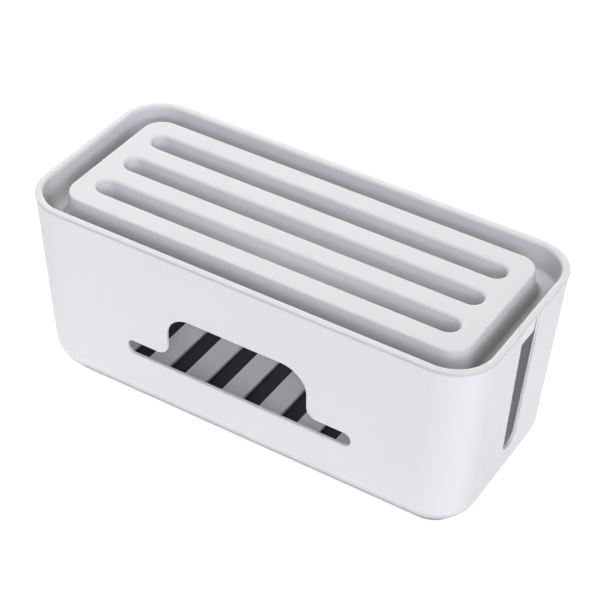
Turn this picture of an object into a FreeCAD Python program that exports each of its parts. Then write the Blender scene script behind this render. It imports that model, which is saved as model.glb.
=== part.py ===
import FreeCAD, Part
import Sketcher
import os
import math

# Desktop cable box: a drafted tub with a hat-shaped front window, a U notch in
# each end wall and vent slots in its floor, closed by a lift-off lid with a
# moat round a raised panel, on four rubber feet.
# Frame: +X along the length, -Y the front with the window, +Z up, origin at
# the middle of the footprint on the surface that the feet stand on.

doc = FreeCAD.newDocument("cable_box")

# ---------------------------------------------------------------- dimensions
DIMS = [
    # overall
    ("boxlength", 320.0), ("boxdepth", 143.5), ("boxheight", 134.35),
    ("footdrop", 1.5), ("draftinset", 7.05), ("lipinset", 0.45),
    ("toprounding", 29.9), ("baserounding", 28.1), ("bottomfillet", 20.0),
    ("wallthick", 2.0), ("floorthick", 2.5),
    # seam between tub and lid
    ("flangethick", 1.15), ("seamgap", 0.2), ("seamround", 0.3), ("tublip", 0.8),
    # front window: low wide brim, tall narrower crown
    ("brimhalf", 81.1), ("brimlow", 44.4), ("brimheight", 10.15),
    ("crownhalf", 50.1), ("crowntop", 89.35), ("crownround", 17.5),
    ("hatround", 8.0), ("windowedge", 0.9),
    # end notches
    ("notchtophalf", 11.9), ("notchlowhalf", 8.2), ("notchlow", 32.1),
    ("notchlowround", 7.4), ("notchtopround", 4.0),
    # floor vents
    ("ventwidth", 12.8), ("ventlong", 70.0), ("ventpitch", 28.7), ("ventcount", 8.0),
    ("ventcorner", 3.0),
    # feet
    ("footdia", 12.0), ("footrecess", 0.5), ("recessdia", 12.2),
    ("footacross", 116.0), ("footalong", 34.0), ("footedge", 0.5),
    # lid
    ("rimwidth", 5.1), ("lidskin", 2.1), ("pluggap", 0.35), ("plugdraft", 1.1),
    ("traydraft", 0.7), ("moatwidthx", 14.3),
    ("moatwidthy", 14.61), ("moatfloor", 116.0), ("paneldrop", 1.0),
    ("panelround", 13.95), ("panelflare", 2.0), ("paneledge", 1.1),
    ("rimouter", 0.75), ("riminner", 1.9), ("moatfootround", 1.6), ("plugfootround", 3.7),
    # lid slots
    ("slothalf", 127.0), ("slotwidth", 14.15), ("slotpitch", 29.75), ("slotedge", 2.0),
]
sheet = doc.addObject("Spreadsheet::Sheet", "dims")
for row, (alias, value) in enumerate(DIMS, 1):
    sheet.set("A%d" % row, alias)
    sheet.set("B%d" % row, repr(value))
    sheet.setAlias("B%d" % row, alias)
doc.recompute()
D = dict(DIMS)


def plane(body, role):
    for f in body.Origin.OriginFeatures:
        if f.Role == role:
            return f
    raise RuntimeError("no plane " + role)


def make_body(name):
    body = doc.addObject("PartDesign::Body", name)
    body.Label = name
    return body


def make_sketch(body, name, role, offset=None):
    sk = body.newObject("Sketcher::SketchObject", name)
    sk.AttachmentSupport = [(plane(body, role), "")]
    sk.MapMode = "FlatFace"
    if offset:
        sk.setExpression("AttachmentOffset.Base.z", offset)
    return sk


V = FreeCAD.Vector


def rounded_rect(sk, half_x, half_y, radius, ex, ey, er, cx=0.0, cy=0.0):
    """Closed rounded rectangle about (cx, cy): corner arcs joined tangent to the sides.
    ex, ey, er are the expressions of its full sizes and its corner radius."""
    x0, x1, y0, y1, r = cx - half_x, cx + half_x, cy - half_y, cy + half_y, radius
    z = V(0, 0, 1)
    g = [
        Part.LineSegment(V(x0 + r, y0, 0), V(x1 - r, y0, 0)),
        Part.ArcOfCircle(Part.Circle(V(x1 - r, y0 + r, 0), z, r), -math.pi / 2, 0),
        Part.LineSegment(V(x1, y0 + r, 0), V(x1, y1 - r, 0)),
        Part.ArcOfCircle(Part.Circle(V(x1 - r, y1 - r, 0), z, r), 0, math.pi / 2),
        Part.LineSegment(V(x1 - r, y1, 0), V(x0 + r, y1, 0)),
        Part.ArcOfCircle(Part.Circle(V(x0 + r, y1 - r, 0), z, r), math.pi / 2, math.pi),
        Part.LineSegment(V(x0, y1 - r, 0), V(x0, y0 + r, 0)),
        Part.ArcOfCircle(Part.Circle(V(x0 + r, y0 + r, 0), z, r), math.pi, 1.5 * math.pi),
    ]
    n = [sk.addGeometry(e, False) for e in g]
    C = Sketcher.Constraint
    sk.addConstraint(C("Tangent", n[0], 2, n[1], 1))
    sk.addConstraint(C("Tangent", n[1], 2, n[2], 1))
    sk.addConstraint(C("Tangent", n[2], 2, n[3], 1))
    sk.addConstraint(C("Tangent", n[3], 2, n[4], 1))
    sk.addConstraint(C("Tangent", n[4], 2, n[5], 1))
    sk.addConstraint(C("Tangent", n[5], 2, n[6], 1))
    sk.addConstraint(C("Tangent", n[6], 2, n[7], 1))
    sk.addConstraint(C("Tangent", n[7], 2, n[0], 1))
    for i in (0, 4):
        sk.addConstraint(C("Horizontal", n[i]))
    for i in (2, 6):
        sk.addConstraint(C("Vertical", n[i]))
    for i in (3, 5, 7):
        sk.addConstraint(C("Equal", n[1], n[i]))
    k = sk.addConstraint(C("Radius", n[1], r))
    sk.setExpression("Constraints[%d]" % k, er)
    # overall width and height between opposite sides
    k = sk.addConstraint(C("DistanceX", n[6], 1, n[2], 1, x1 - x0))
    sk.setExpression("Constraints[%d]" % k, ex)
    k = sk.addConstraint(C("DistanceY", n[0], 1, n[4], 1, y1 - y0))
    sk.setExpression("Constraints[%d]" % k, ey)
    return n, C


def centred(sk, n, C):
    """Hold the rounded rectangle's middle on the sketch origin."""
    sk.addConstraint(C("Symmetric", n[0], 1, n[4], 1, -1, 1))


def need_solved(sk):
    if sk.solve() != 0 or sk.Shape.isNull():
        raise RuntimeError("%s: solver says %s" % (sk.Name, sk.solve()))


def add_loft(body, name, low, high, cut=False):
    need_solved(low)
    need_solved(high)
    lo = body.newObject("PartDesign::SubtractiveLoft" if cut else "PartDesign::AdditiveLoft", name)
    lo.Profile = high
    lo.Sections = [low]
    lo.Ruled = True
    low.Visibility = False
    high.Visibility = False
    doc.recompute()
    body.Tip = lo
    return lo


def edges_where(shape, test):
    names = []
    for i, e in enumerate(shape.Edges, 1):
        if e.Length < 1e-6:
            continue
        b = e.BoundBox
        if test(e, b):
            names.append("Edge%d" % i)
    return names


def add_fillet(body, name, base, names, expr, value):
    if not names:
        raise RuntimeError(name + ": no edges")
    f = body.newObject("PartDesign::Fillet", name)
    f.Base = (base, names)
    f.Radius = value
    f.setExpression("Radius", expr)
    doc.recompute()
    if "Invalid" in f.State or "Error" in f.State or f.Shape.isNull() or not f.Shape.isValid():
        raise RuntimeError("%s failed: %s null=%s valid=%s names=%s vol=%s" % (name, f.State, f.Shape.isNull(), f.Shape.isValid(), names, f.Shape.Volume))
    body.Tip = f
    return f


def need_less(name, before, after):
    if not after < before - 1.0:
        raise RuntimeError("%s removed nothing: %.1f -> %.1f" % (name, before, after))


# ------------------------------------------------------------------ box_body
SEAM = "(dims.boxheight - dims.flangethick - dims.seamgap)"
seam = D["boxheight"] - D["flangethick"] - D["seamgap"]
L, W, ins, t = D["boxlength"], D["boxdepth"], D["draftinset"], D["wallthick"]
lip = D["lipinset"]
foot = D["footdrop"]

tub = make_body("box_body")
s = make_sketch(tub, "tub_base_outline", "XY_Plane", "dims.footdrop")
n, C = rounded_rect(s, L / 2 - ins, W / 2 - ins, D["baserounding"],
                    "dims.boxlength - 2 * dims.draftinset", "dims.boxdepth - 2 * dims.draftinset",
                    "dims.baserounding")
centred(s, n, C)
s2 = make_sketch(tub, "tub_top_outline", "XY_Plane", SEAM)
n, C = rounded_rect(s2, L / 2 - lip, W / 2 - lip, D["toprounding"] - lip,
                    "dims.boxlength - 2 * dims.lipinset", "dims.boxdepth - 2 * dims.lipinset",
                    "dims.toprounding - dims.lipinset")
centred(s2, n, C)
doc.recompute()
block = add_loft(tub, "tub_block", s, s2)

names = edges_where(block.Shape, lambda e, b: abs(b.ZMax - foot) < 1e-4 and abs(b.ZMin - foot) < 1e-4)
base_round = add_fillet(tub, "tub_base_round", block, names, "dims.bottomfillet", D["bottomfillet"])

# cavity core, one wall in from the outside, its foot rounded concentric with
# the outside; a solid of its own that is then taken out of the tub
core = make_body("cavity_core")
s = make_sketch(core, "cavity_base_outline", "XY_Plane", "dims.footdrop + dims.floorthick")
k = D["floorthick"] / (seam - foot)
ci = lip + (ins - lip) * (1 - k)
n, C = rounded_rect(s, L / 2 - ci - t, W / 2 - ci - t, D["baserounding"] - t,
                    "dims.boxlength - 2 * dims.lipinset - 2 * (dims.draftinset - dims.lipinset) * (1 - dims.floorthick / (%s - dims.footdrop)) - 2 * dims.wallthick" % SEAM,
                    "dims.boxdepth - 2 * dims.lipinset - 2 * (dims.draftinset - dims.lipinset) * (1 - dims.floorthick / (%s - dims.footdrop)) - 2 * dims.wallthick" % SEAM,
                    "dims.baserounding - dims.wallthick")
centred(s, n, C)
s2 = make_sketch(core, "cavity_top_outline", "XY_Plane", SEAM)
n, C = rounded_rect(s2, L / 2 - lip - t, W / 2 - lip - t, D["toprounding"] - lip - t,
                    "dims.boxlength - 2 * dims.lipinset - 2 * dims.wallthick",
                    "dims.boxdepth - 2 * dims.lipinset - 2 * dims.wallthick",
                    "dims.toprounding - dims.lipinset - dims.wallthick")
centred(s2, n, C)
doc.recompute()
core_block = add_loft(core, "cavity_block", s, s2)
zf = foot + D["floorthick"]
names = edges_where(core_block.Shape, lambda e, b: abs(b.ZMax - zf) < 1e-4 and abs(b.ZMin - zf) < 1e-4)
core_round = add_fillet(core, "cavity_foot_round", core_block, names,
                        "dims.bottomfillet - dims.floorthick", D["bottomfillet"] - D["floorthick"])
v0 = tub.Shape.Volume
cavity = tub.newObject("PartDesign::Boolean", "cavity")
cavity.Type = "Cut"
cavity.setObjects([core])
doc.recompute()
tub.Tip = cavity
need_less("cavity", v0, cavity.Shape.Volume)

# front window, brim: a long low slot with round ends
s = make_sketch(tub, "window_brim_outline", "XZ_Plane")
C = Sketcher.Constraint
r = D["brimheight"] / 2
zc = D["brimlow"] + r
hx = D["brimhalf"] - r
z = V(0, 0, 1)
g = [s.addGeometry(Part.LineSegment(V(-hx, zc - r, 0), V(hx, zc - r, 0)), False),
     s.addGeometry(Part.ArcOfCircle(Part.Circle(V(hx, zc, 0), z, r), -math.pi / 2, math.pi / 2), False),
     s.addGeometry(Part.LineSegment(V(hx, zc + r, 0), V(-hx, zc + r, 0)), False),
     s.addGeometry(Part.ArcOfCircle(Part.Circle(V(-hx, zc, 0), z, r), math.pi / 2, 1.5 * math.pi), False)]
for a, b in ((0, 1), (1, 2), (2, 3), (3, 0)):
    s.addConstraint(C("Tangent", g[a], 2, g[b], 1))
s.addConstraint(C("Horizontal", g[2]))
s.addConstraint(C("Symmetric", g[0], 1, g[0], 2, -2))
k = s.addConstraint(C("DistanceY", -1, 1, g[1], 3, zc))
s.setExpression("Constraints[%d]" % k, "dims.brimlow + dims.brimheight / 2")
k = s.addConstraint(C("Radius", g[1], r))
s.setExpression("Constraints[%d]" % k, "dims.brimheight / 2")
k = s.addConstraint(C("DistanceX", g[0], 1, g[0], 2, 2 * hx))
s.setExpression("Constraints[%d]" % k, "2 * dims.brimhalf - dims.brimheight")
doc.recompute()


def add_pocket(body, name, sketch, length_expr, length, reverse=False, both=False):
    need_solved(sketch)
    v0 = body.Shape.Volume
    p = body.newObject("PartDesign::Pocket", name)
    p.Profile = sketch
    p.Type = "Length"
    p.Length = length
    p.setExpression("Length", length_expr)
    if both:
        if hasattr(p, "SideType"):
            p.SideType = "Symmetric"
        else:
            p.Midplane = True
    p.Reversed = reverse
    sketch.Visibility = False
    doc.recompute()
    if "Invalid" in p.State or "Error" in p.State:
        raise RuntimeError(name + " failed")
    body.Tip = p
    need_less(name, v0, p.Shape.Volume)
    return p


def front_side(p, name):
    """The cut belongs to the front wall only: the back wall keeps its outline."""
    b = [f for f in p.Shape.Faces if f.CenterOfMass.y > W / 2 - ins - 3 and f.Area > 15000]
    if not b:
        raise RuntimeError(name + " reached the back wall")


win_brim = add_pocket(tub, "window_brim", s, "dims.boxdepth / 2 + 5", W / 2 + 5, reverse=True)
if win_brim.Shape.BoundBox.YMin > -W / 2 + 1:
    raise RuntimeError("window on the wrong side")

# crown: a plain rectangle rising from the brim, corners rounded afterwards
s = make_sketch(tub, "window_crown_outline", "XZ_Plane")
x1, z0, z1 = D["crownhalf"], zc, D["crowntop"]
P4 = [V(-x1, z0, 0), V(x1, z0, 0), V(x1, z1, 0), V(-x1, z1, 0)]
g = [s.addGeometry(Part.LineSegment(P4[i], P4[(i + 1) % 4]), False) for i in range(4)]
for i in range(4):
    s.addConstraint(C("Coincident", g[i], 2, g[(i + 1) % 4], 1))
s.addConstraint(C("Horizontal", g[2]))
s.addConstraint(C("Vertical", g[1]))
s.addConstraint(C("Vertical", g[3]))
s.addConstraint(C("Symmetric", g[0], 1, g[0], 2, -2))
k = s.addConstraint(C("DistanceX", g[0], 1, g[0], 2, 2 * x1))
s.setExpression("Constraints[%d]" % k, "2 * dims.crownhalf")
k = s.addConstraint(C("DistanceY", -1, 1, g[0], 1, z0))
s.setExpression("Constraints[%d]" % k, "dims.brimlow + dims.brimheight / 2")
k = s.addConstraint(C("DistanceY", -1, 1, g[2], 1, z1))
s.setExpression("Constraints[%d]" % k, "dims.crowntop")
doc.recompute()
win_crown = add_pocket(tub, "window_crown", s, "dims.boxdepth / 2 + 5", W / 2 + 5, reverse=True)


def through_wall(axis, a, az, tol=0.3):
    """Test for the short edges that cross a wall at (a, az)."""
    def test(e, b):
        if e.Length > 12:
            return False
        c = b.Center
        u = c.x if axis == "x" else c.y
        return abs(abs(u) - a) < tol and abs(c.z - az) < tol
    return test


names = edges_where(win_crown.Shape, through_wall("x", D["crownhalf"], D["brimlow"] + D["brimheight"]))
hat_round = add_fillet(tub, "window_hat_round", win_crown, names, "dims.hatround", D["hatround"])
names = edges_where(hat_round.Shape, through_wall("x", D["crownhalf"], D["crowntop"]))
crown_round = add_fillet(tub, "window_crown_round", hat_round, names, "dims.crownround", D["crownround"])

# end notches: one sketch across both end walls, open at the top of the wall
s = make_sketch(tub, "notch_outline", "YZ_Plane")
a, b, z0, z1 = D["notchtophalf"], D["notchlowhalf"], D["notchlow"], seam
P4 = [V(-b, z0, 0), V(b, z0, 0), V(a, z1, 0), V(-a, z1, 0)]
g = [s.addGeometry(Part.LineSegment(P4[i], P4[(i + 1) % 4]), False) for i in range(4)]
for i in range(4):
    s.addConstraint(C("Coincident", g[i], 2, g[(i + 1) % 4], 1))
s.addConstraint(C("Symmetric", g[0], 1, g[0], 2, -2))
s.addConstraint(C("Symmetric", g[2], 1, g[2], 2, -2))
k = s.addConstraint(C("DistanceX", g[0], 1, g[0], 2, 2 * b))
s.setExpression("Constraints[%d]" % k, "2 * dims.notchlowhalf")
k = s.addConstraint(C("DistanceX", g[2], 2, g[2], 1, 2 * a))
s.setExpression("Constraints[%d]" % k, "2 * dims.notchtophalf")
k = s.addConstraint(C("DistanceY", -1, 1, g[0], 1, z0))
s.setExpression("Constraints[%d]" % k, "dims.notchlow")
k = s.addConstraint(C("DistanceY", -1, 1, g[2], 1, z1))
s.setExpression("Constraints[%d]" % k, SEAM)
doc.recompute()
notch = add_pocket(tub, "end_notches", s, "dims.boxlength + 20", L + 20, both=True)
names = edges_where(notch.Shape, through_wall("y", D["notchlowhalf"], D["notchlow"]))
notch_low = add_fillet(tub, "notch_low_round", notch, names, "dims.notchlowround", D["notchlowround"])
names = edges_where(notch_low.Shape, through_wall("y", D["notchtophalf"], seam))
notch_top = add_fillet(tub, "notch_top_round", notch_low, names, "dims.notchtopround", D["notchtopround"])

# floor vents: one slot across the floor, repeated along the length
s = make_sketch(tub, "vent_outline", "XY_Plane", "dims.footdrop + dims.floorthick")
vx = -(D["ventcount"] - 1) / 2 * D["ventpitch"]
n, C = rounded_rect(s, D["ventwidth"] / 2, D["ventlong"] / 2, D["ventcorner"],
                    "dims.ventwidth", "dims.ventlong", "dims.ventcorner", cx=vx)
k = s.addConstraint(C("DistanceX", n[6], 1, -1, 1, -vx + D["ventwidth"] / 2))
s.setExpression("Constraints[%d]" % k, "(dims.ventcount - 1) / 2 * dims.ventpitch + dims.ventwidth / 2")
k = s.addConstraint(C("DistanceY", n[0], 1, -1, 1, D["ventlong"] / 2))
s.setExpression("Constraints[%d]" % k, "dims.ventlong / 2")
doc.recompute()
vent = add_pocket(tub, "floor_vent", s, "dims.floorthick + 1", D["floorthick"] + 1)
v0 = tub.Shape.Volume
pat = tub.newObject("PartDesign::LinearPattern", "floor_vents")
pat.Originals = [vent]
pat.Direction = (plane(tub, "X_Axis"), [""])
if hasattr(pat, "Mode"):
    pat.Mode = "Extent"
pat.Length = D["ventpitch"] * (D["ventcount"] - 1)
pat.setExpression("Length", "dims.ventpitch * (dims.ventcount - 1)")
pat.Occurrences = int(D["ventcount"])
pat.setExpression("Occurrences", "dims.ventcount")
tub.Tip = pat
doc.recompute()
need_less("floor_vents", v0, pat.Shape.Volume)

# shallow round recesses that hold the feet
s = make_sketch(tub, "foot_recess_outline", "XY_Plane", "dims.footdrop")
for sx in (-1, 1):
    for sy in (-1, 1):
        c = s.addGeometry(Part.Circle(V(sx * D["footacross"], sy * D["footalong"], 0), V(0, 0, 1),
                                      D["recessdia"] / 2), False)
        k = s.addConstraint(C("Diameter", c, D["recessdia"]))
        s.setExpression("Constraints[%d]" % k, "dims.recessdia")
        if sx > 0:
            k = s.addConstraint(C("DistanceX", -1, 1, c, 3, D["footacross"]))
        else:
            k = s.addConstraint(C("DistanceX", c, 3, -1, 1, D["footacross"]))
        s.setExpression("Constraints[%d]" % k, "dims.footacross")
        if sy > 0:
            k = s.addConstraint(C("DistanceY", -1, 1, c, 3, D["footalong"]))
        else:
            k = s.addConstraint(C("DistanceY", c, 3, -1, 1, D["footalong"]))
        s.setExpression("Constraints[%d]" % k, "dims.footalong")
doc.recompute()
recess = add_pocket(tub, "foot_recesses", s, "dims.footrecess", D["footrecess"], reverse=True)


# soft outer edges of the openings and of the wall top
def on_front_outer(e, b):
    """Edges of the window outline that lie in the drafted outer face of the front wall."""
    if b.ZMin < D["brimlow"] - 1 or b.ZMax > D["crowntop"] + 1 or abs(b.XMax) > D["brimhalf"] + 1 \
            or abs(b.XMin) > D["brimhalf"] + 1:
        return False
    for p in (e.valueAt(e.FirstParameter), e.valueAt(e.LastParameter)):
        y = -(W / 2 - lip - (ins - lip) * (seam - p.z) / (seam - foot))
        if abs(p.y - y) > 0.05:
            return False
    return True


names = edges_where(recess.Shape, on_front_outer)
win_edge = add_fillet(tub, "window_edge_round", recess, names, "dims.windowedge", D["windowedge"])


def inset_of(p):
    """Distance inward from the lid outline, measured round its corners too."""
    R = D["toprounding"]
    dx, dy = abs(p.x) - (L / 2 - R), abs(p.y) - (W / 2 - R)
    if dx > 0 and dy > 0:
        return R - math.hypot(dx, dy)
    return min(L / 2 - abs(p.x), W / 2 - abs(p.y))


def at_height(zz, low, high, tol=1e-3):
    """Test for the flat edges at height zz whose inset lies between low and high."""
    def test(e, b):
        if abs(b.ZMax - zz) > tol or abs(b.ZMin - zz) > tol:
            return False
        p = e.valueAt(0.5 * (e.FirstParameter + e.LastParameter))
        return low < inset_of(p) < high
    return test


# the wall top's outer edge, and with it the outer edges of the end notches,
# which run on from it without a corner
names = edges_where(win_edge.Shape, at_height(seam, lip - 0.1, lip + 0.1))
lip_round = add_fillet(tub, "tub_lip_round", win_edge, names, "dims.tublip", D["tublip"])

# ----------------------------------------------------------------------- lid
lid = make_body("lid")
top = D["boxheight"]
fl = top - D["flangethick"]
skin, rim = D["lidskin"], D["rimwidth"]
under = D["moatfloor"] - skin

s = make_sketch(lid, "flange_outline", "XY_Plane", "dims.boxheight - dims.flangethick")
n, C = rounded_rect(s, L / 2, W / 2, D["toprounding"], "dims.boxlength", "dims.boxdepth", "dims.toprounding")
centred(s, n, C)
doc.recompute()
pad = lid.newObject("PartDesign::Pad", "flange")
pad.Profile = s
pad.Type = "Length"
pad.Length = D["flangethick"]
pad.setExpression("Length", "dims.flangethick")
s.Visibility = False
doc.recompute()
lid.Tip = pad

# the plug that drops inside the tub walls
s = make_sketch(lid, "plug_low_outline", "XY_Plane", "dims.moatfloor - dims.lidskin")
q = lip + t + D["pluggap"] + D["plugdraft"]
n, C = rounded_rect(s, L / 2 - q, W / 2 - q, D["toprounding"] - q,
                    "dims.boxlength - 2 * (dims.lipinset + dims.wallthick + dims.pluggap + dims.plugdraft)",
                    "dims.boxdepth - 2 * (dims.lipinset + dims.wallthick + dims.pluggap + dims.plugdraft)",
                    "dims.toprounding - (dims.lipinset + dims.wallthick + dims.pluggap + dims.plugdraft)")
centred(s, n, C)
s2 = make_sketch(lid, "plug_top_outline", "XY_Plane", "dims.boxheight - dims.flangethick")
q = lip + t + D["pluggap"]
n, C = rounded_rect(s2, L / 2 - q, W / 2 - q, D["toprounding"] - q,
                    "dims.boxlength - 2 * (dims.lipinset + dims.wallthick + dims.pluggap)",
                    "dims.boxdepth - 2 * (dims.lipinset + dims.wallthick + dims.pluggap)",
                    "dims.toprounding - (dims.lipinset + dims.wallthick + dims.pluggap)")
centred(s2, n, C)
doc.recompute()
plug = add_loft(lid, "plug", s, s2)

# tray sunk from the top, down to the moat floor
s = make_sketch(lid, "tray_low_outline", "XY_Plane", "dims.moatfloor")
q = rim + D["traydraft"]
n, C = rounded_rect(s, L / 2 - q, W / 2 - q, D["toprounding"] - q,
                    "dims.boxlength - 2 * (dims.rimwidth + dims.traydraft)",
                    "dims.boxdepth - 2 * (dims.rimwidth + dims.traydraft)",
                    "dims.toprounding - (dims.rimwidth + dims.traydraft)")
centred(s, n, C)
s2 = make_sketch(lid, "tray_top_outline", "XY_Plane", "dims.boxheight")
q = rim
n, C = rounded_rect(s2, L / 2 - q, W / 2 - q, D["toprounding"] - q,
                    "dims.boxlength - 2 * dims.rimwidth", "dims.boxdepth - 2 * dims.rimwidth",
                    "dims.toprounding - dims.rimwidth")
centred(s2, n, C)
doc.recompute()
v0 = lid.Shape.Volume
tray = add_loft(lid, "tray", s, s2, cut=True)
need_less("tray", v0, tray.Shape.Volume)

# raised panel in the middle, its walls flaring out to the moat floor
hx = L / 2 - rim - D["moatwidthx"]
hy = W / 2 - rim - D["moatwidthy"]
PX = "(dims.boxlength - 2 * dims.rimwidth - 2 * dims.moatwidthx)"
PY = "(dims.boxdepth - 2 * dims.rimwidth - 2 * dims.moatwidthy)"
s = make_sketch(lid, "panel_low_outline", "XY_Plane", "dims.moatfloor")
f = D["panelflare"]
n, C = rounded_rect(s, hx + f, hy + f, D["panelround"] + f,
                    PX + " + 2 * dims.panelflare", PY + " + 2 * dims.panelflare",
                    "dims.panelround + dims.panelflare")
centred(s, n, C)
s2 = make_sketch(lid, "panel_top_outline", "XY_Plane", "dims.boxheight - dims.paneldrop")
n, C = rounded_rect(s2, hx, hy, D["panelround"], PX, PY, "dims.panelround")
centred(s2, n, C)
doc.recompute()
panel = add_loft(lid, "panel", s, s2)

ptop = top - D["paneldrop"]


# rim bead and panel edge softened, moat corners coved
names = edges_where(panel.Shape, at_height(ptop, rim + 5, 99))
lid_f1 = add_fillet(lid, "panel_edge_round", panel, names, "dims.paneledge", D["paneledge"])
names = edges_where(lid_f1.Shape, at_height(D["moatfloor"], 0, 99))
lid_f2 = add_fillet(lid, "moat_foot_round", lid_f1, names, "dims.moatfootround", D["moatfootround"])
names = edges_where(lid_f2.Shape, at_height(top, rim - 0.5, rim + 0.5))
lid_f3 = add_fillet(lid, "rim_inner_round", lid_f2, names, "dims.riminner", D["riminner"])
names = edges_where(lid_f3.Shape, at_height(top, -0.5, 0.5))
lid_f4 = add_fillet(lid, "rim_outer_round", lid_f3, names, "dims.rimouter", D["rimouter"])
names = edges_where(lid_f4.Shape, at_height(under, 0, rim))
lid_f5 = add_fillet(lid, "plug_foot_round", lid_f4, names, "dims.plugfootround", D["plugfootround"])
names = edges_where(lid_f5.Shape, at_height(fl, -0.5, 0.5))
lid_f6 = add_fillet(lid, "rim_seam_round", lid_f5, names, "dims.seamround", D["seamround"])

# three slots through the panel, wells down to the underside
s = make_sketch(lid, "slot_outline", "XY_Plane", "dims.boxheight - dims.paneldrop")
r = D["slotwidth"] / 2
hs = D["slothalf"] - r
for j in (-1, 0, 1):
    yc = j * D["slotpitch"]
    g = [s.addGeometry(Part.LineSegment(V(-hs, yc - r, 0), V(hs, yc - r, 0)), False),
         s.addGeometry(Part.ArcOfCircle(Part.Circle(V(hs, yc, 0), V(0, 0, 1), r), -math.pi / 2, math.pi / 2), False),
         s.addGeometry(Part.LineSegment(V(hs, yc + r, 0), V(-hs, yc + r, 0)), False),
         s.addGeometry(Part.ArcOfCircle(Part.Circle(V(-hs, yc, 0), V(0, 0, 1), r), math.pi / 2, 1.5 * math.pi), False)]
    for a, b in ((0, 1), (1, 2), (2, 3), (3, 0)):
        s.addConstraint(C("Tangent", g[a], 2, g[b], 1))
    s.addConstraint(C("Horizontal", g[2]))
    s.addConstraint(C("Symmetric", g[0], 1, g[0], 2, -2))
    k = s.addConstraint(C("Radius", g[1], r))
    s.setExpression("Constraints[%d]" % k, "dims.slotwidth / 2")
    k = s.addConstraint(C("DistanceX", g[0], 1, g[0], 2, 2 * hs))
    s.setExpression("Constraints[%d]" % k, "2 * dims.slothalf - dims.slotwidth")
    if j == 0:
        s.addConstraint(C("PointOnObject", g[1], 3, -1))
    elif j > 0:
        k = s.addConstraint(C("DistanceY", -1, 1, g[1], 3, yc))
        s.setExpression("Constraints[%d]" % k, "dims.slotpitch")
    else:
        k = s.addConstraint(C("DistanceY", g[1], 3, -1, 1, -yc))
        s.setExpression("Constraints[%d]" % k, "dims.slotpitch")
doc.recompute()
slots = add_pocket(lid, "panel_slots", s, "dims.boxheight - dims.paneldrop - dims.moatfloor + dims.lidskin + 1",
                   ptop - under + 1)
names = edges_where(slots.Shape, at_height(ptop, rim + D["moatwidthy"] + 6, 99))
slot_round = add_fillet(lid, "slot_edge_round", slots, names, "dims.slotedge", D["slotedge"])

# underside hollowed out, leaving a skin under the panel and round each well
s = make_sketch(lid, "hollow_outline", "XY_Plane", "dims.moatfloor - dims.lidskin")
n, C = rounded_rect(s, hx + f - skin, hy + f - skin, D["panelround"] + f - skin,
                    PX + " + 2 * dims.panelflare - 2 * dims.lidskin",
                    PY + " + 2 * dims.panelflare - 2 * dims.lidskin",
                    "dims.panelround + dims.panelflare - dims.lidskin")
centred(s, n, C)
r2 = r + skin
for j in (-1, 0, 1):
    yc = j * D["slotpitch"]
    g = [s.addGeometry(Part.LineSegment(V(-hs, yc - r2, 0), V(hs, yc - r2, 0)), False),
         s.addGeometry(Part.ArcOfCircle(Part.Circle(V(hs, yc, 0), V(0, 0, 1), r2), -math.pi / 2, math.pi / 2), False),
         s.addGeometry(Part.LineSegment(V(hs, yc + r2, 0), V(-hs, yc + r2, 0)), False),
         s.addGeometry(Part.ArcOfCircle(Part.Circle(V(-hs, yc, 0), V(0, 0, 1), r2), math.pi / 2, 1.5 * math.pi), False)]
    for a, b in ((0, 1), (1, 2), (2, 3), (3, 0)):
        s.addConstraint(C("Tangent", g[a], 2, g[b], 1))
    s.addConstraint(C("Horizontal", g[2]))
    s.addConstraint(C("Symmetric", g[0], 1, g[0], 2, -2))
    k = s.addConstraint(C("Radius", g[1], r2))
    s.setExpression("Constraints[%d]" % k, "dims.slotwidth / 2 + dims.lidskin")
    k = s.addConstraint(C("DistanceX", g[0], 1, g[0], 2, 2 * hs))
    s.setExpression("Constraints[%d]" % k, "2 * dims.slothalf - dims.slotwidth")
    if j == 0:
        s.addConstraint(C("PointOnObject", g[1], 3, -1))
    elif j > 0:
        k = s.addConstraint(C("DistanceY", -1, 1, g[1], 3, yc))
        s.setExpression("Constraints[%d]" % k, "dims.slotpitch")
    else:
        k = s.addConstraint(C("DistanceY", g[1], 3, -1, 1, -yc))
        s.setExpression("Constraints[%d]" % k, "dims.slotpitch")
doc.recompute()
hollow = add_pocket(lid, "underside_hollow", s,
                    "dims.boxheight - dims.paneldrop - dims.lidskin - (dims.moatfloor - dims.lidskin)",
                    ptop - skin - under, reverse=True)

# ---------------------------------------------------------------------- feet
feet = []
for name, sx, sy in (("foot_front_left", -1, -1), ("foot_front_right", 1, -1),
                     ("foot_back_left", -1, 1), ("foot_back_right", 1, 1)):
    fb = make_body(name)
    s = make_sketch(fb, name + "_outline", "XY_Plane")
    c = s.addGeometry(Part.Circle(V(0, 0, 0), V(0, 0, 1), D["footdia"] / 2), False)
    s.addConstraint(C("Coincident", c, 3, -1, 1))
    k = s.addConstraint(C("Diameter", c, D["footdia"]))
    s.setExpression("Constraints[%d]" % k, "dims.footdia")
    p = fb.newObject("PartDesign::Pad", name + "_disc")
    p.Profile = s
    p.Type = "Length"
    p.Length = D["footdrop"] + D["footrecess"]
    p.setExpression("Length", "dims.footdrop + dims.footrecess")
    s.Visibility = False
    doc.recompute()
    fb.Tip = p
    names = edges_where(p.Shape, lambda e, b: abs(b.ZMax) < 1e-4 and abs(b.ZMin) < 1e-4)
    add_fillet(fb, name + "_edge", p, names, "dims.footedge", D["footedge"])
    fb.setExpression("Placement.Base.x", ("" if sx > 0 else "-") + "dims.footacross")
    fb.setExpression("Placement.Base.y", ("" if sy > 0 else "-") + "dims.footalong")
    feet.append(fb)

doc.recompute()

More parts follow.
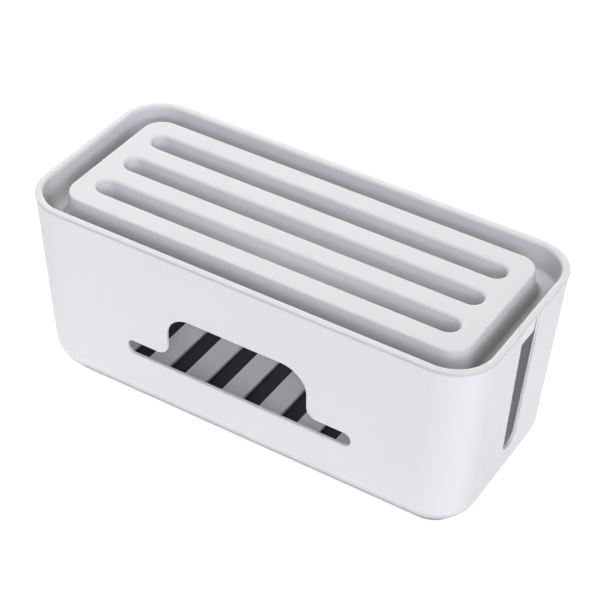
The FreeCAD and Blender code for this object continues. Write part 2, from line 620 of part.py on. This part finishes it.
# --------------------------------------------------------- checks and export
for o in doc.Objects:
    if "Invalid" in o.State or "Error" in o.State:
        raise RuntimeError("failed object: %s %s" % (o.Name, o.State))
os.makedirs("parts", exist_ok=True)
for b in [tub, lid] + feet:
    sh = b.Shape
    if sh.isNull() or not sh.isValid() or len(sh.Solids) != 1:
        raise RuntimeError("bad shape: %s solids=%d" % (b.Label, len(sh.Solids)))
for b in [tub, lid] + feet:
    b.Shape.exportStep("parts/%s.step" % b.Label)
    bb = b.Shape.BoundBox
    print("%-18s vol %.1f cm3  x %.2f..%.2f y %.2f..%.2f z %.2f..%.2f" % (
        b.Label, b.Shape.Volume / 1000, bb.XMin, bb.XMax, bb.YMin, bb.YMax, bb.ZMin, bb.ZMax))
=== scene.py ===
import bpy, bmesh, math
from mathutils import Matrix, Vector


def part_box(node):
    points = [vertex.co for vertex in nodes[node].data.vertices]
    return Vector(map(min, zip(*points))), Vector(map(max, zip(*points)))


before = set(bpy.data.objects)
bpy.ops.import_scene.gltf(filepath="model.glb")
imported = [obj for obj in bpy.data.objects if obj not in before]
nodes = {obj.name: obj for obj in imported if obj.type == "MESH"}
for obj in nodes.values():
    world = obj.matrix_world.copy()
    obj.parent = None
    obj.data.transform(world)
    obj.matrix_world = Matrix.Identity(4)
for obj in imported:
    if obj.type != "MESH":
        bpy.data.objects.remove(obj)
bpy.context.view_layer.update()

scene = bpy.context.scene
MM = 0.001


# ---------------------------------------------------------------- materials
def new_material(name):
    m = bpy.data.materials.new(name)
    m.use_nodes = True
    nt = m.node_tree
    nt.nodes.clear()
    out = nt.nodes.new("ShaderNodeOutputMaterial")
    bsdf = nt.nodes.new("ShaderNodeBsdfPrincipled")
    nt.links.new(bsdf.outputs["BSDF"], out.inputs["Surface"])
    return m, nt, bsdf


def add(nt, kind, **props):
    n = nt.nodes.new(kind)
    for k, v in props.items():
        setattr(n, k, v)
    return n


def noise(nt, coord, scale, detail=2.0, rough=0.5, stretch=None):
    vec = coord
    if stretch:
        mp = add(nt, "ShaderNodeMapping")
        mp.inputs["Scale"].default_value = stretch
        nt.links.new(coord, mp.inputs["Vector"])
        vec = mp.outputs["Vector"]
    n = add(nt, "ShaderNodeTexNoise")
    n.inputs["Scale"].default_value = scale
    n.inputs["Detail"].default_value = detail
    n.inputs["Roughness"].default_value = rough
    nt.links.new(vec, n.inputs["Vector"])
    return n.outputs["Fac"]


def ramp(nt, fac, lo, hi, a, b):
    r = add(nt, "ShaderNodeMapRange")
    r.inputs["From Min"].default_value = lo
    r.inputs["From Max"].default_value = hi
    r.inputs["To Min"].default_value = a
    r.inputs["To Max"].default_value = b
    nt.links.new(fac, r.inputs["Value"])
    return r.outputs["Result"]


def mix_colour(nt, fac, a, b):
    x = add(nt, "ShaderNodeMix", data_type="RGBA")
    for key, val in (("A", a), ("B", b)):
        s = [i for i in x.inputs if i.name == key and i.type == "RGBA"][0]
        if isinstance(val, tuple):
            s.default_value = val
        else:
            nt.links.new(val, s)
    f = [i for i in x.inputs if i.name == "Factor" and i.type == "VALUE"][0]
    if isinstance(fac, float):
        f.default_value = fac
    else:
        nt.links.new(fac, f)
    return [o for o in x.outputs if o.type == "RGBA"][0]


def maths(nt, op, a, b):
    x = add(nt, "ShaderNodeMath", operation=op)
    for i, v in enumerate((a, b)):
        if isinstance(v, (int, float)):
            x.inputs[i].default_value = v
        else:
            nt.links.new(v, x.inputs[i])
    return x.outputs[0]


def height_band(nt, coord, z0, z1, z2, z3):
    """0 below z0 and above z3, 1 from z1 to z2 (metres, along the object's height)."""
    sep = add(nt, "ShaderNodeSeparateXYZ")
    nt.links.new(coord, sep.inputs["Vector"])
    up = ramp(nt, sep.outputs["Z"], z0, z1, 0.0, 1.0)
    down = ramp(nt, sep.outputs["Z"], z2, z3, 1.0, 0.0)
    return maths(nt, "MULTIPLY", up, down)


def rounded(nt, a, b, radius):
    """Signed distance from two edge distances that meet in a rounding: negative
    inside. a and b are measured from the rounding's centre lines."""
    pa, pb = maths(nt, "MAXIMUM", a, 0.0), maths(nt, "MAXIMUM", b, 0.0)
    far = maths(nt, "SQRT", maths(nt, "ADD", maths(nt, "MULTIPLY", pa, pa), maths(nt, "MULTIPLY", pb, pb)), 0.0)
    near = maths(nt, "MINIMUM", maths(nt, "MAXIMUM", a, b), 0.0)
    return maths(nt, "SUBTRACT", maths(nt, "ADD", far, near), radius)


def outline_distance(nt, coord, half_x, half_y, radius, z_ref, slope, radius_slope=0.0, foot=None):
    """Signed distance (metres, negative inside) to the side of a round-cornered
    block. Half sizes and corner radius hold at z_ref and grow with height by
    slope and radius_slope; foot is (height of the underside, its rounding)."""
    sep = add(nt, "ShaderNodeSeparateXYZ")
    nt.links.new(coord, sep.inputs["Vector"])
    above = maths(nt, "SUBTRACT", sep.outputs["Z"], z_ref)
    r = maths(nt, "ADD", maths(nt, "MULTIPLY", above, radius_slope), radius)
    shift = maths(nt, "SUBTRACT", r, maths(nt, "MULTIPLY", above, slope))
    d = [maths(nt, "ADD", maths(nt, "SUBTRACT", maths(nt, "ABSOLUTE", sep.outputs[axis], 0.0), half), shift)
         for axis, half in (("X", half_x), ("Y", half_y))]
    dist = rounded(nt, d[0], d[1], r)
    if foot:
        z0, rf = foot
        down = maths(nt, "SUBTRACT", z0 + rf, sep.outputs["Z"])
        dist = rounded(nt, maths(nt, "ADD", dist, rf), down, rf)
    return dist


def moulded_plastic(name, base, warm, rough=0.46, grain=0.035, painted_bands=(), painted_regions=()):
    """White moulded plastic: spark-eroded grain, slight flow mottling, faint
    scuffs, painted shade in a band by height (the shadow line at the lid seam) and
    patches of painted light or shade inside or outside an outline in plan."""
    m, nt, bsdf = new_material(name)
    tc = add(nt, "ShaderNodeTexCoord").outputs["Object"]
    cloud = noise(nt, tc, 9.0, 3.0, 0.55)
    mottle = noise(nt, tc, 70.0, 2.0, 0.5)
    col = mix_colour(nt, ramp(nt, cloud, 0.3, 0.7, 0.0, 1.0), base, warm)
    fine = noise(nt, tc, 900.0, 2.0, 0.6)
    col = mix_colour(nt, ramp(nt, fine, 0.35, 0.65, 0.0, 0.10), col, tuple(c * 0.9 for c in base[:3]) + (1.0,))
    for outline, (e0, e1, e2, e3), zs, shade in painted_regions:
        dist = outline_distance(nt, tc, *outline)
        ring = maths(nt, "MULTIPLY", ramp(nt, dist, e0, e1, 0.0, 1.0), ramp(nt, dist, e2, e3, 1.0, 0.0))
        f = maths(nt, "MULTIPLY", ring, height_band(nt, tc, *zs))
        col = mix_colour(nt, f, col, shade)
    for zs, amount, shade in painted_bands:
        # the strength of a band wanders a little
        f = maths(nt, "MULTIPLY", height_band(nt, tc, *zs), ramp(nt, cloud, 0.3, 0.7, amount * 0.92, amount))
        col = mix_colour(nt, f, col, shade)
    nt.links.new(col, bsdf.inputs["Base Color"])
    # fine scuffs, drawn out along the box
    scuff = noise(nt, tc, 60.0, 4.0, 0.7, stretch=(0.35, 3.0, 1.0))
    r = maths(nt, "ADD", ramp(nt, mottle, 0.3, 0.7, rough - 0.035, rough + 0.035),
              ramp(nt, scuff, 0.62, 0.75, 0.0, 0.06))
    r = maths(nt, "ADD", r, ramp(nt, fine, 0.3, 0.7, -0.02, 0.02))
    nt.links.new(r, bsdf.inputs["Roughness"])
    bsdf.inputs["IOR"].default_value = 1.49
    bsdf.inputs["Subsurface Weight"].default_value = 0.0
    # grain relief
    height = maths(nt, "ADD", noise(nt, tc, 1500.0, 2.0, 0.55), maths(nt, "MULTIPLY", fine, 0.6))
    bump = add(nt, "ShaderNodeBump")
    bump.inputs["Strength"].default_value = grain * 4
    bump.inputs["Distance"].default_value = 0.00006
    nt.links.new(height, bump.inputs["Height"])
    wave = add(nt, "ShaderNodeBump")
    wave.inputs["Strength"].default_value = 0.05
    wave.inputs["Distance"].default_value = 0.0004
    nt.links.new(noise(nt, tc, 18.0, 1.0, 0.4), wave.inputs["Height"])
    nt.links.new(wave.outputs["Normal"], bump.inputs["Normal"])
    nt.links.new(bump.outputs["Normal"], bsdf.inputs["Normal"])
    return m


def rubber(name, base):
    m, nt, bsdf = new_material(name)
    tc = add(nt, "ShaderNodeTexCoord").outputs["Object"]
    dust = noise(nt, tc, 260.0, 4.0, 0.6)
    lighter = tuple(min(1.0, c * 1.9 + 0.01) for c in base[:3]) + (1.0,)
    nt.links.new(mix_colour(nt, ramp(nt, dust, 0.45, 0.75, 0.0, 0.6), base, lighter), bsdf.inputs["Base Color"])
    nt.links.new(ramp(nt, dust, 0.3, 0.7, 0.68, 0.86), bsdf.inputs["Roughness"])
    bump = add(nt, "ShaderNodeBump")
    bump.inputs["Strength"].default_value = 0.25
    bump.inputs["Distance"].default_value = 0.0001
    nt.links.new(noise(nt, tc, 1400.0, 3.0, 0.6), bump.inputs["Height"])
    nt.links.new(bump.outputs["Normal"], bsdf.inputs["Normal"])
    return m


def put(obj, mat):
    obj.data.materials.clear()
    obj.data.materials.append(mat)


# Painted shade and painted light in the plastic's colour. They carry light and shade
# that the lamps alone don't give: the shadow line at the lid seam, the bottom rounding,
# the end walls, the foot of the moat, the slot wells, the inner walls and the slotted floor. They are fitted,
# not dirt.
tub_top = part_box("box_body")[1][2]
SEAM_PAINTED_SHADOW = (0.47, 0.47, 0.463, 1)
BASE_PAINTED_SHADE = (0.36, 0.36, 0.37, 1)
FOOT_PAINTED_SHADE = (0.20, 0.20, 0.21, 1)
END_WALL_PAINTED_SHADE = (0.558, 0.558, 0.561, 1)
INNER_FLOOR_PAINTED_LIGHT = (0.77, 0.755, 0.77, 1)
INNER_WALL_PAINTED_LIGHT = (0.845, 0.825, 0.829, 1)
MOAT_PAINTED_SHADE = (0.345, 0.342, 0.345, 1)
SLOT_PAINTED_LIGHT = (0.69, 0.69, 0.69, 1)
FAR = (1.0, 2.0)
lo_t, hi_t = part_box("box_body")
lo_l, hi_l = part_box("lid")
draft = 0.0066 / (hi_t[2] - lo_t[2])
tub_outline = (0.15955, 0.0713, 0.02945, tub_top, draft, 0.00135 / (hi_t[2] - lo_t[2]),
               (lo_t[2], 0.020))                             # outer face of the walls
end_outline = (0.15505, 1.0, 0.0010, tub_top, draft)         # beyond the rounded corners
lid_outline = (0.16, 0.07175, 0.0299, tub_top, 0.0)          # outer face of the flange
panel_outline = (0.1406, 0.05204, 0.01395, hi_l[2], -0.11)   # side of the lid's raised panel
tub_mat = moulded_plastic(
    "tub_white_plastic", (0.604, 0.604, 0.607, 1), (0.618, 0.617, 0.618, 1),
    # painted shadow line at the top of the walls, under the lid's flange
    painted_bands=(((tub_top - 0.0020, tub_top - 0.0006, tub_top + 0.001, tub_top + 0.002), 1.0, SEAM_PAINTED_SHADOW),),
    # painted shade: the end walls beyond the rounded corners a little darker
    painted_regions=((end_outline, (-0.001, 0.0040) + FAR, (0.0, 0.001, 0.2, 0.3), END_WALL_PAINTED_SHADE),
             # painted shade on the outside of the bottom rounding, darker towards the table
             (tub_outline, (-0.0009, -0.0005) + FAR, (0.0012, 0.0050, 0.0095, 0.0170), BASE_PAINTED_SHADE),
             (tub_outline, (-0.0009, -0.0005) + FAR, (0.0016, 0.0050, 0.0070, 0.0110), FOOT_PAINTED_SHADE),
             # painted light: the walls' inner faces, lighter
             (tub_outline, (-FAR[1], -FAR[0], -0.0016, -0.0012), (0.0035, 0.0040, tub_top - 0.001, tub_top), INNER_WALL_PAINTED_LIGHT),
             # painted light: the slotted floor, lighter
             (tub_outline, (-FAR[1], -FAR[0], -0.0010, -0.0007), (0.0015, 0.0020, 0.0042, 0.0050), INNER_FLOOR_PAINTED_LIGHT)))
lid_mat = moulded_plastic(
    "lid_white_plastic", (0.618, 0.618, 0.619, 1), (0.632, 0.631, 0.631, 1),
    painted_regions=(
        # painted shadow line along the lower edge of the flange, over the seam
        (lid_outline, (-0.0016, -0.0010) + FAR, (tub_top, tub_top + 0.0001, tub_top + 0.0003, tub_top + 0.0013), SEAM_PAINTED_SHADOW),
        # painted shade towards the foot of the panel's sides
        (panel_outline, (-0.0008, 0.0, 0.0010, 0.0032), (lo_l[2], lo_l[2] + 0.002, lo_l[2] + 0.0025, lo_l[2] + 0.0185), MOAT_PAINTED_SHADE),
        # painted light: lining of the slot wells, a little lighter
        (panel_outline, (-FAR[1], -FAR[0], -0.0115, -0.0100), (lo_l[2], lo_l[2] + 0.001, hi_l[2] - 0.0045, hi_l[2] - 0.0025), SLOT_PAINTED_LIGHT)))
foot_mat = rubber("foot_rubber_dark", (0.022, 0.022, 0.024, 1))

put(nodes["box_body"], tub_mat)
put(nodes["lid"], lid_mat)
for n in nodes:
    if n.startswith("foot_"):
        put(nodes[n], foot_mat)

# ------------------------------------------------------------------- studio
FLOOR_GLOW = 0.270
SHADOW_FILL_PAINTED_LIGHT = 0.14
CONTACT_FILL_PAINTED_LIGHT = 0.15
FOOTPRINT = (0.15295, 0.0647, 0.0281, 0.0, 0.0)   # the walls' outline on the table


def table_glow_and_painted_fill(nt, dist):
    """Glow of the back-lit table: even, plus painted light round the box, stronger
    near its walls, that fills the box's own shadow on the table."""
    wide = ramp(nt, dist, 0.0, 0.10, FLOOR_GLOW + SHADOW_FILL_PAINTED_LIGHT, FLOOR_GLOW)
    return maths(nt, "ADD", wide, ramp(nt, dist, 0.004, 0.040, CONTACT_FILL_PAINTED_LIGHT, 0.0))


def studio_floor():
    bm = bmesh.new()
    s = 6.0
    vs = [bm.verts.new(p) for p in ((-s, -s, 0), (s, -s, 0), (s, s, 0), (-s, s, 0))]
    bm.faces.new(vs)
    me = bpy.data.meshes.new("studio_floor")
    bm.to_mesh(me)
    bm.free()
    ob = bpy.data.objects.new("studio_floor", me)
    ob.location.z = -0.0001
    scene.collection.objects.link(ob)
    m, nt, bsdf = new_material("studio_white")
    tc = add(nt, "ShaderNodeTexCoord").outputs["Object"]
    c = mix_colour(nt, noise(nt, tc, 2.0, 2.0), (0.93, 0.93, 0.93, 1), (0.95, 0.95, 0.95, 1))
    nt.links.new(c, bsdf.inputs["Base Color"])
    bsdf.inputs["Roughness"].default_value = 0.9
    bsdf.inputs["Specular IOR Level"].default_value = 0.0
    # a back-lit table: a faint even glow keeps the table white; the stronger glow round the box is painted light
    # filling its shadow
    bsdf.inputs["Emission Color"].default_value = (1.000, 0.982, 0.878, 1)
    nt.links.new(table_glow_and_painted_fill(nt, outline_distance(nt, tc, *FOOTPRINT)), bsdf.inputs["Emission Strength"])
    me.materials.append(m)
    return ob


studio_floor()


def painted_shadow_pad():
    """Dark pad the box stands on, inside its footprint: painted shadow that the
    floor vents look down on, and painted contact shadow under the bottom rounding.
    It fades to the table's white before the box's outline."""
    bm = bmesh.new()
    x, y = 0.158, 0.070
    vs = [bm.verts.new(p) for p in ((-x, -y, 0), (x, -y, 0), (x, y, 0), (-x, y, 0))]
    bm.faces.new(vs)
    me = bpy.data.meshes.new("painted_shadow_pad")
    bm.to_mesh(me)
    bm.free()
    ob = bpy.data.objects.new("painted_shadow_pad", me)
    ob.location.z = 0.00005
    scene.collection.objects.link(ob)
    m, nt, bsdf = new_material("painted_shadow_pad_dark")
    tc = add(nt, "ShaderNodeTexCoord").outputs["Object"]
    pad_dark = mix_colour(nt, noise(nt, tc, 900.0, 3.0, 0.6), (0.044, 0.044, 0.052, 1), (0.066, 0.066, 0.075, 1))
    inside = outline_distance(nt, tc, *FOOTPRINT)
    # painted contact shadow: a grey step under the bottom rounding, then the table's white and glow
    fade = maths(nt, "ADD", ramp(nt, inside, -0.0175, -0.0140, 0.0, 0.26), ramp(nt, inside, -0.0113, -0.0103, 0.0, 0.74))
    nt.links.new(mix_colour(nt, fade, pad_dark, (0.94, 0.94, 0.94, 1)), bsdf.inputs["Base Color"])
    bsdf.inputs["Roughness"].default_value = 0.9
    bsdf.inputs["Specular IOR Level"].default_value = 0.0
    bsdf.inputs["Emission Color"].default_value = (0.960, 0.965, 0.985, 1)
    nt.links.new(maths(nt, "MULTIPLY", fade, table_glow_and_painted_fill(nt, inside)), bsdf.inputs["Emission Strength"])
    me.materials.append(m)
    return ob


painted_shadow_pad()

world = bpy.data.worlds.new("studio")
scene.world = world
world.use_nodes = True
bg = world.node_tree.nodes["Background"]
bg.inputs["Color"].default_value = (1.0, 1.0, 1.0, 1)
bg.inputs["Strength"].default_value = 1.0
# the backdrop is seen but lights nothing: the lamps do
for kind in ("diffuse", "glossy", "transmission", "scatter"):
    setattr(world.cycles_visibility, kind, False)


def lamp(name, az, el, spread, power, colour):
    d = bpy.data.lights.new(name, "SUN")
    d.angle = math.radians(spread)
    d.energy = power
    d.color = colour
    o = bpy.data.objects.new(name, d)
    a, e = math.radians(az), math.radians(el)
    to = Vector((math.cos(e) * math.cos(a), math.cos(e) * math.sin(a), math.sin(e)))
    o.location = to * 3
    o.rotation_mode = "QUATERNION"
    o.rotation_quaternion = (-to).to_track_quat("-Z", "Y")
    scene.collection.objects.link(o)
    return o


# soft daylight from all round, as broad far-off lamps: azimuth, elevation
# and angular size (degrees), strength, colour
LAMPS = (
    (108, 7, 30, 1.111, (1.000, 0.993, 0.921)),
    (180, 7, 30, 0.288, (0.986, 1.000, 0.898)),
    (216, 7, 30, 0.540, (0.737, 0.759, 1.000)),
    (18, 24, 30, 0.671, (0.883, 0.869, 1.000)),
    (126, 24, 30, 1.062, (0.998, 1.000, 0.893)),
    (162, 24, 30, 0.356, (0.850, 0.938, 1.000)),
    (306, 24, 30, 1.272, (0.976, 1.000, 1.000)),
    (342, 24, 30, 0.356, (0.626, 0.708, 1.000)),
    (174, 66, 38, 1.345, (0.872, 0.877, 1.000)),
    (0, 89, 38, 0.401, (1.000, 0.924, 0.620)),
    (315, 20, 8, 0.360, (1.000, 0.956, 0.953)),
    (300, 40, 8, 0.438, (0.769, 0.786, 1.000)),
    (0, 40, 8, 0.113, (0.757, 0.812, 1.000)),
)
for k, (az, el, spread, power, colour) in enumerate(LAMPS):
    lamp("lamp_%d" % k, az, el, spread, power, colour)

# ------------------------------------------------------------------- camera
AZ, EL, ROLL, DIST, FPX = 30.22, 38.68, 2.27, 1188.9, 1882.06
TX, TY, TARGET_Z = 293.88, 321.44, 59.5
a, e, r = math.radians(AZ), math.radians(EL), math.radians(ROLL)
back = Vector((math.sin(a) * math.cos(e), -math.cos(a) * math.cos(e), math.sin(e)))
right0 = Vector((math.cos(a), math.sin(a), 0))
up0 = back.cross(right0)
right = right0 * math.cos(r) + up0 * math.sin(r)
up = up0 * math.cos(r) - right0 * math.sin(r)
pos = Vector((0, 0, TARGET_Z)) + back * DIST - right * ((TX - 300) * DIST / FPX) + up * ((TY - 300) * DIST / FPX)
cam_data = bpy.data.cameras.new("camera")
cam_data.sensor_width = 36.0
cam_data.lens = FPX / 600 * 36.0
cam_data.clip_start, cam_data.clip_end = 0.01, 50
cam = bpy.data.objects.new("camera", cam_data)
rot = Matrix((right, up, back)).transposed().to_4x4()
cam.matrix_world = Matrix.Translation(pos * MM) @ rot
scene.collection.objects.link(cam)
scene.camera = cam

scene.view_settings.view_transform = "Standard"
scene.view_settings.look = "None"
scene.view_settings.exposure = 0.0
scene.view_settings.gamma = 1.0
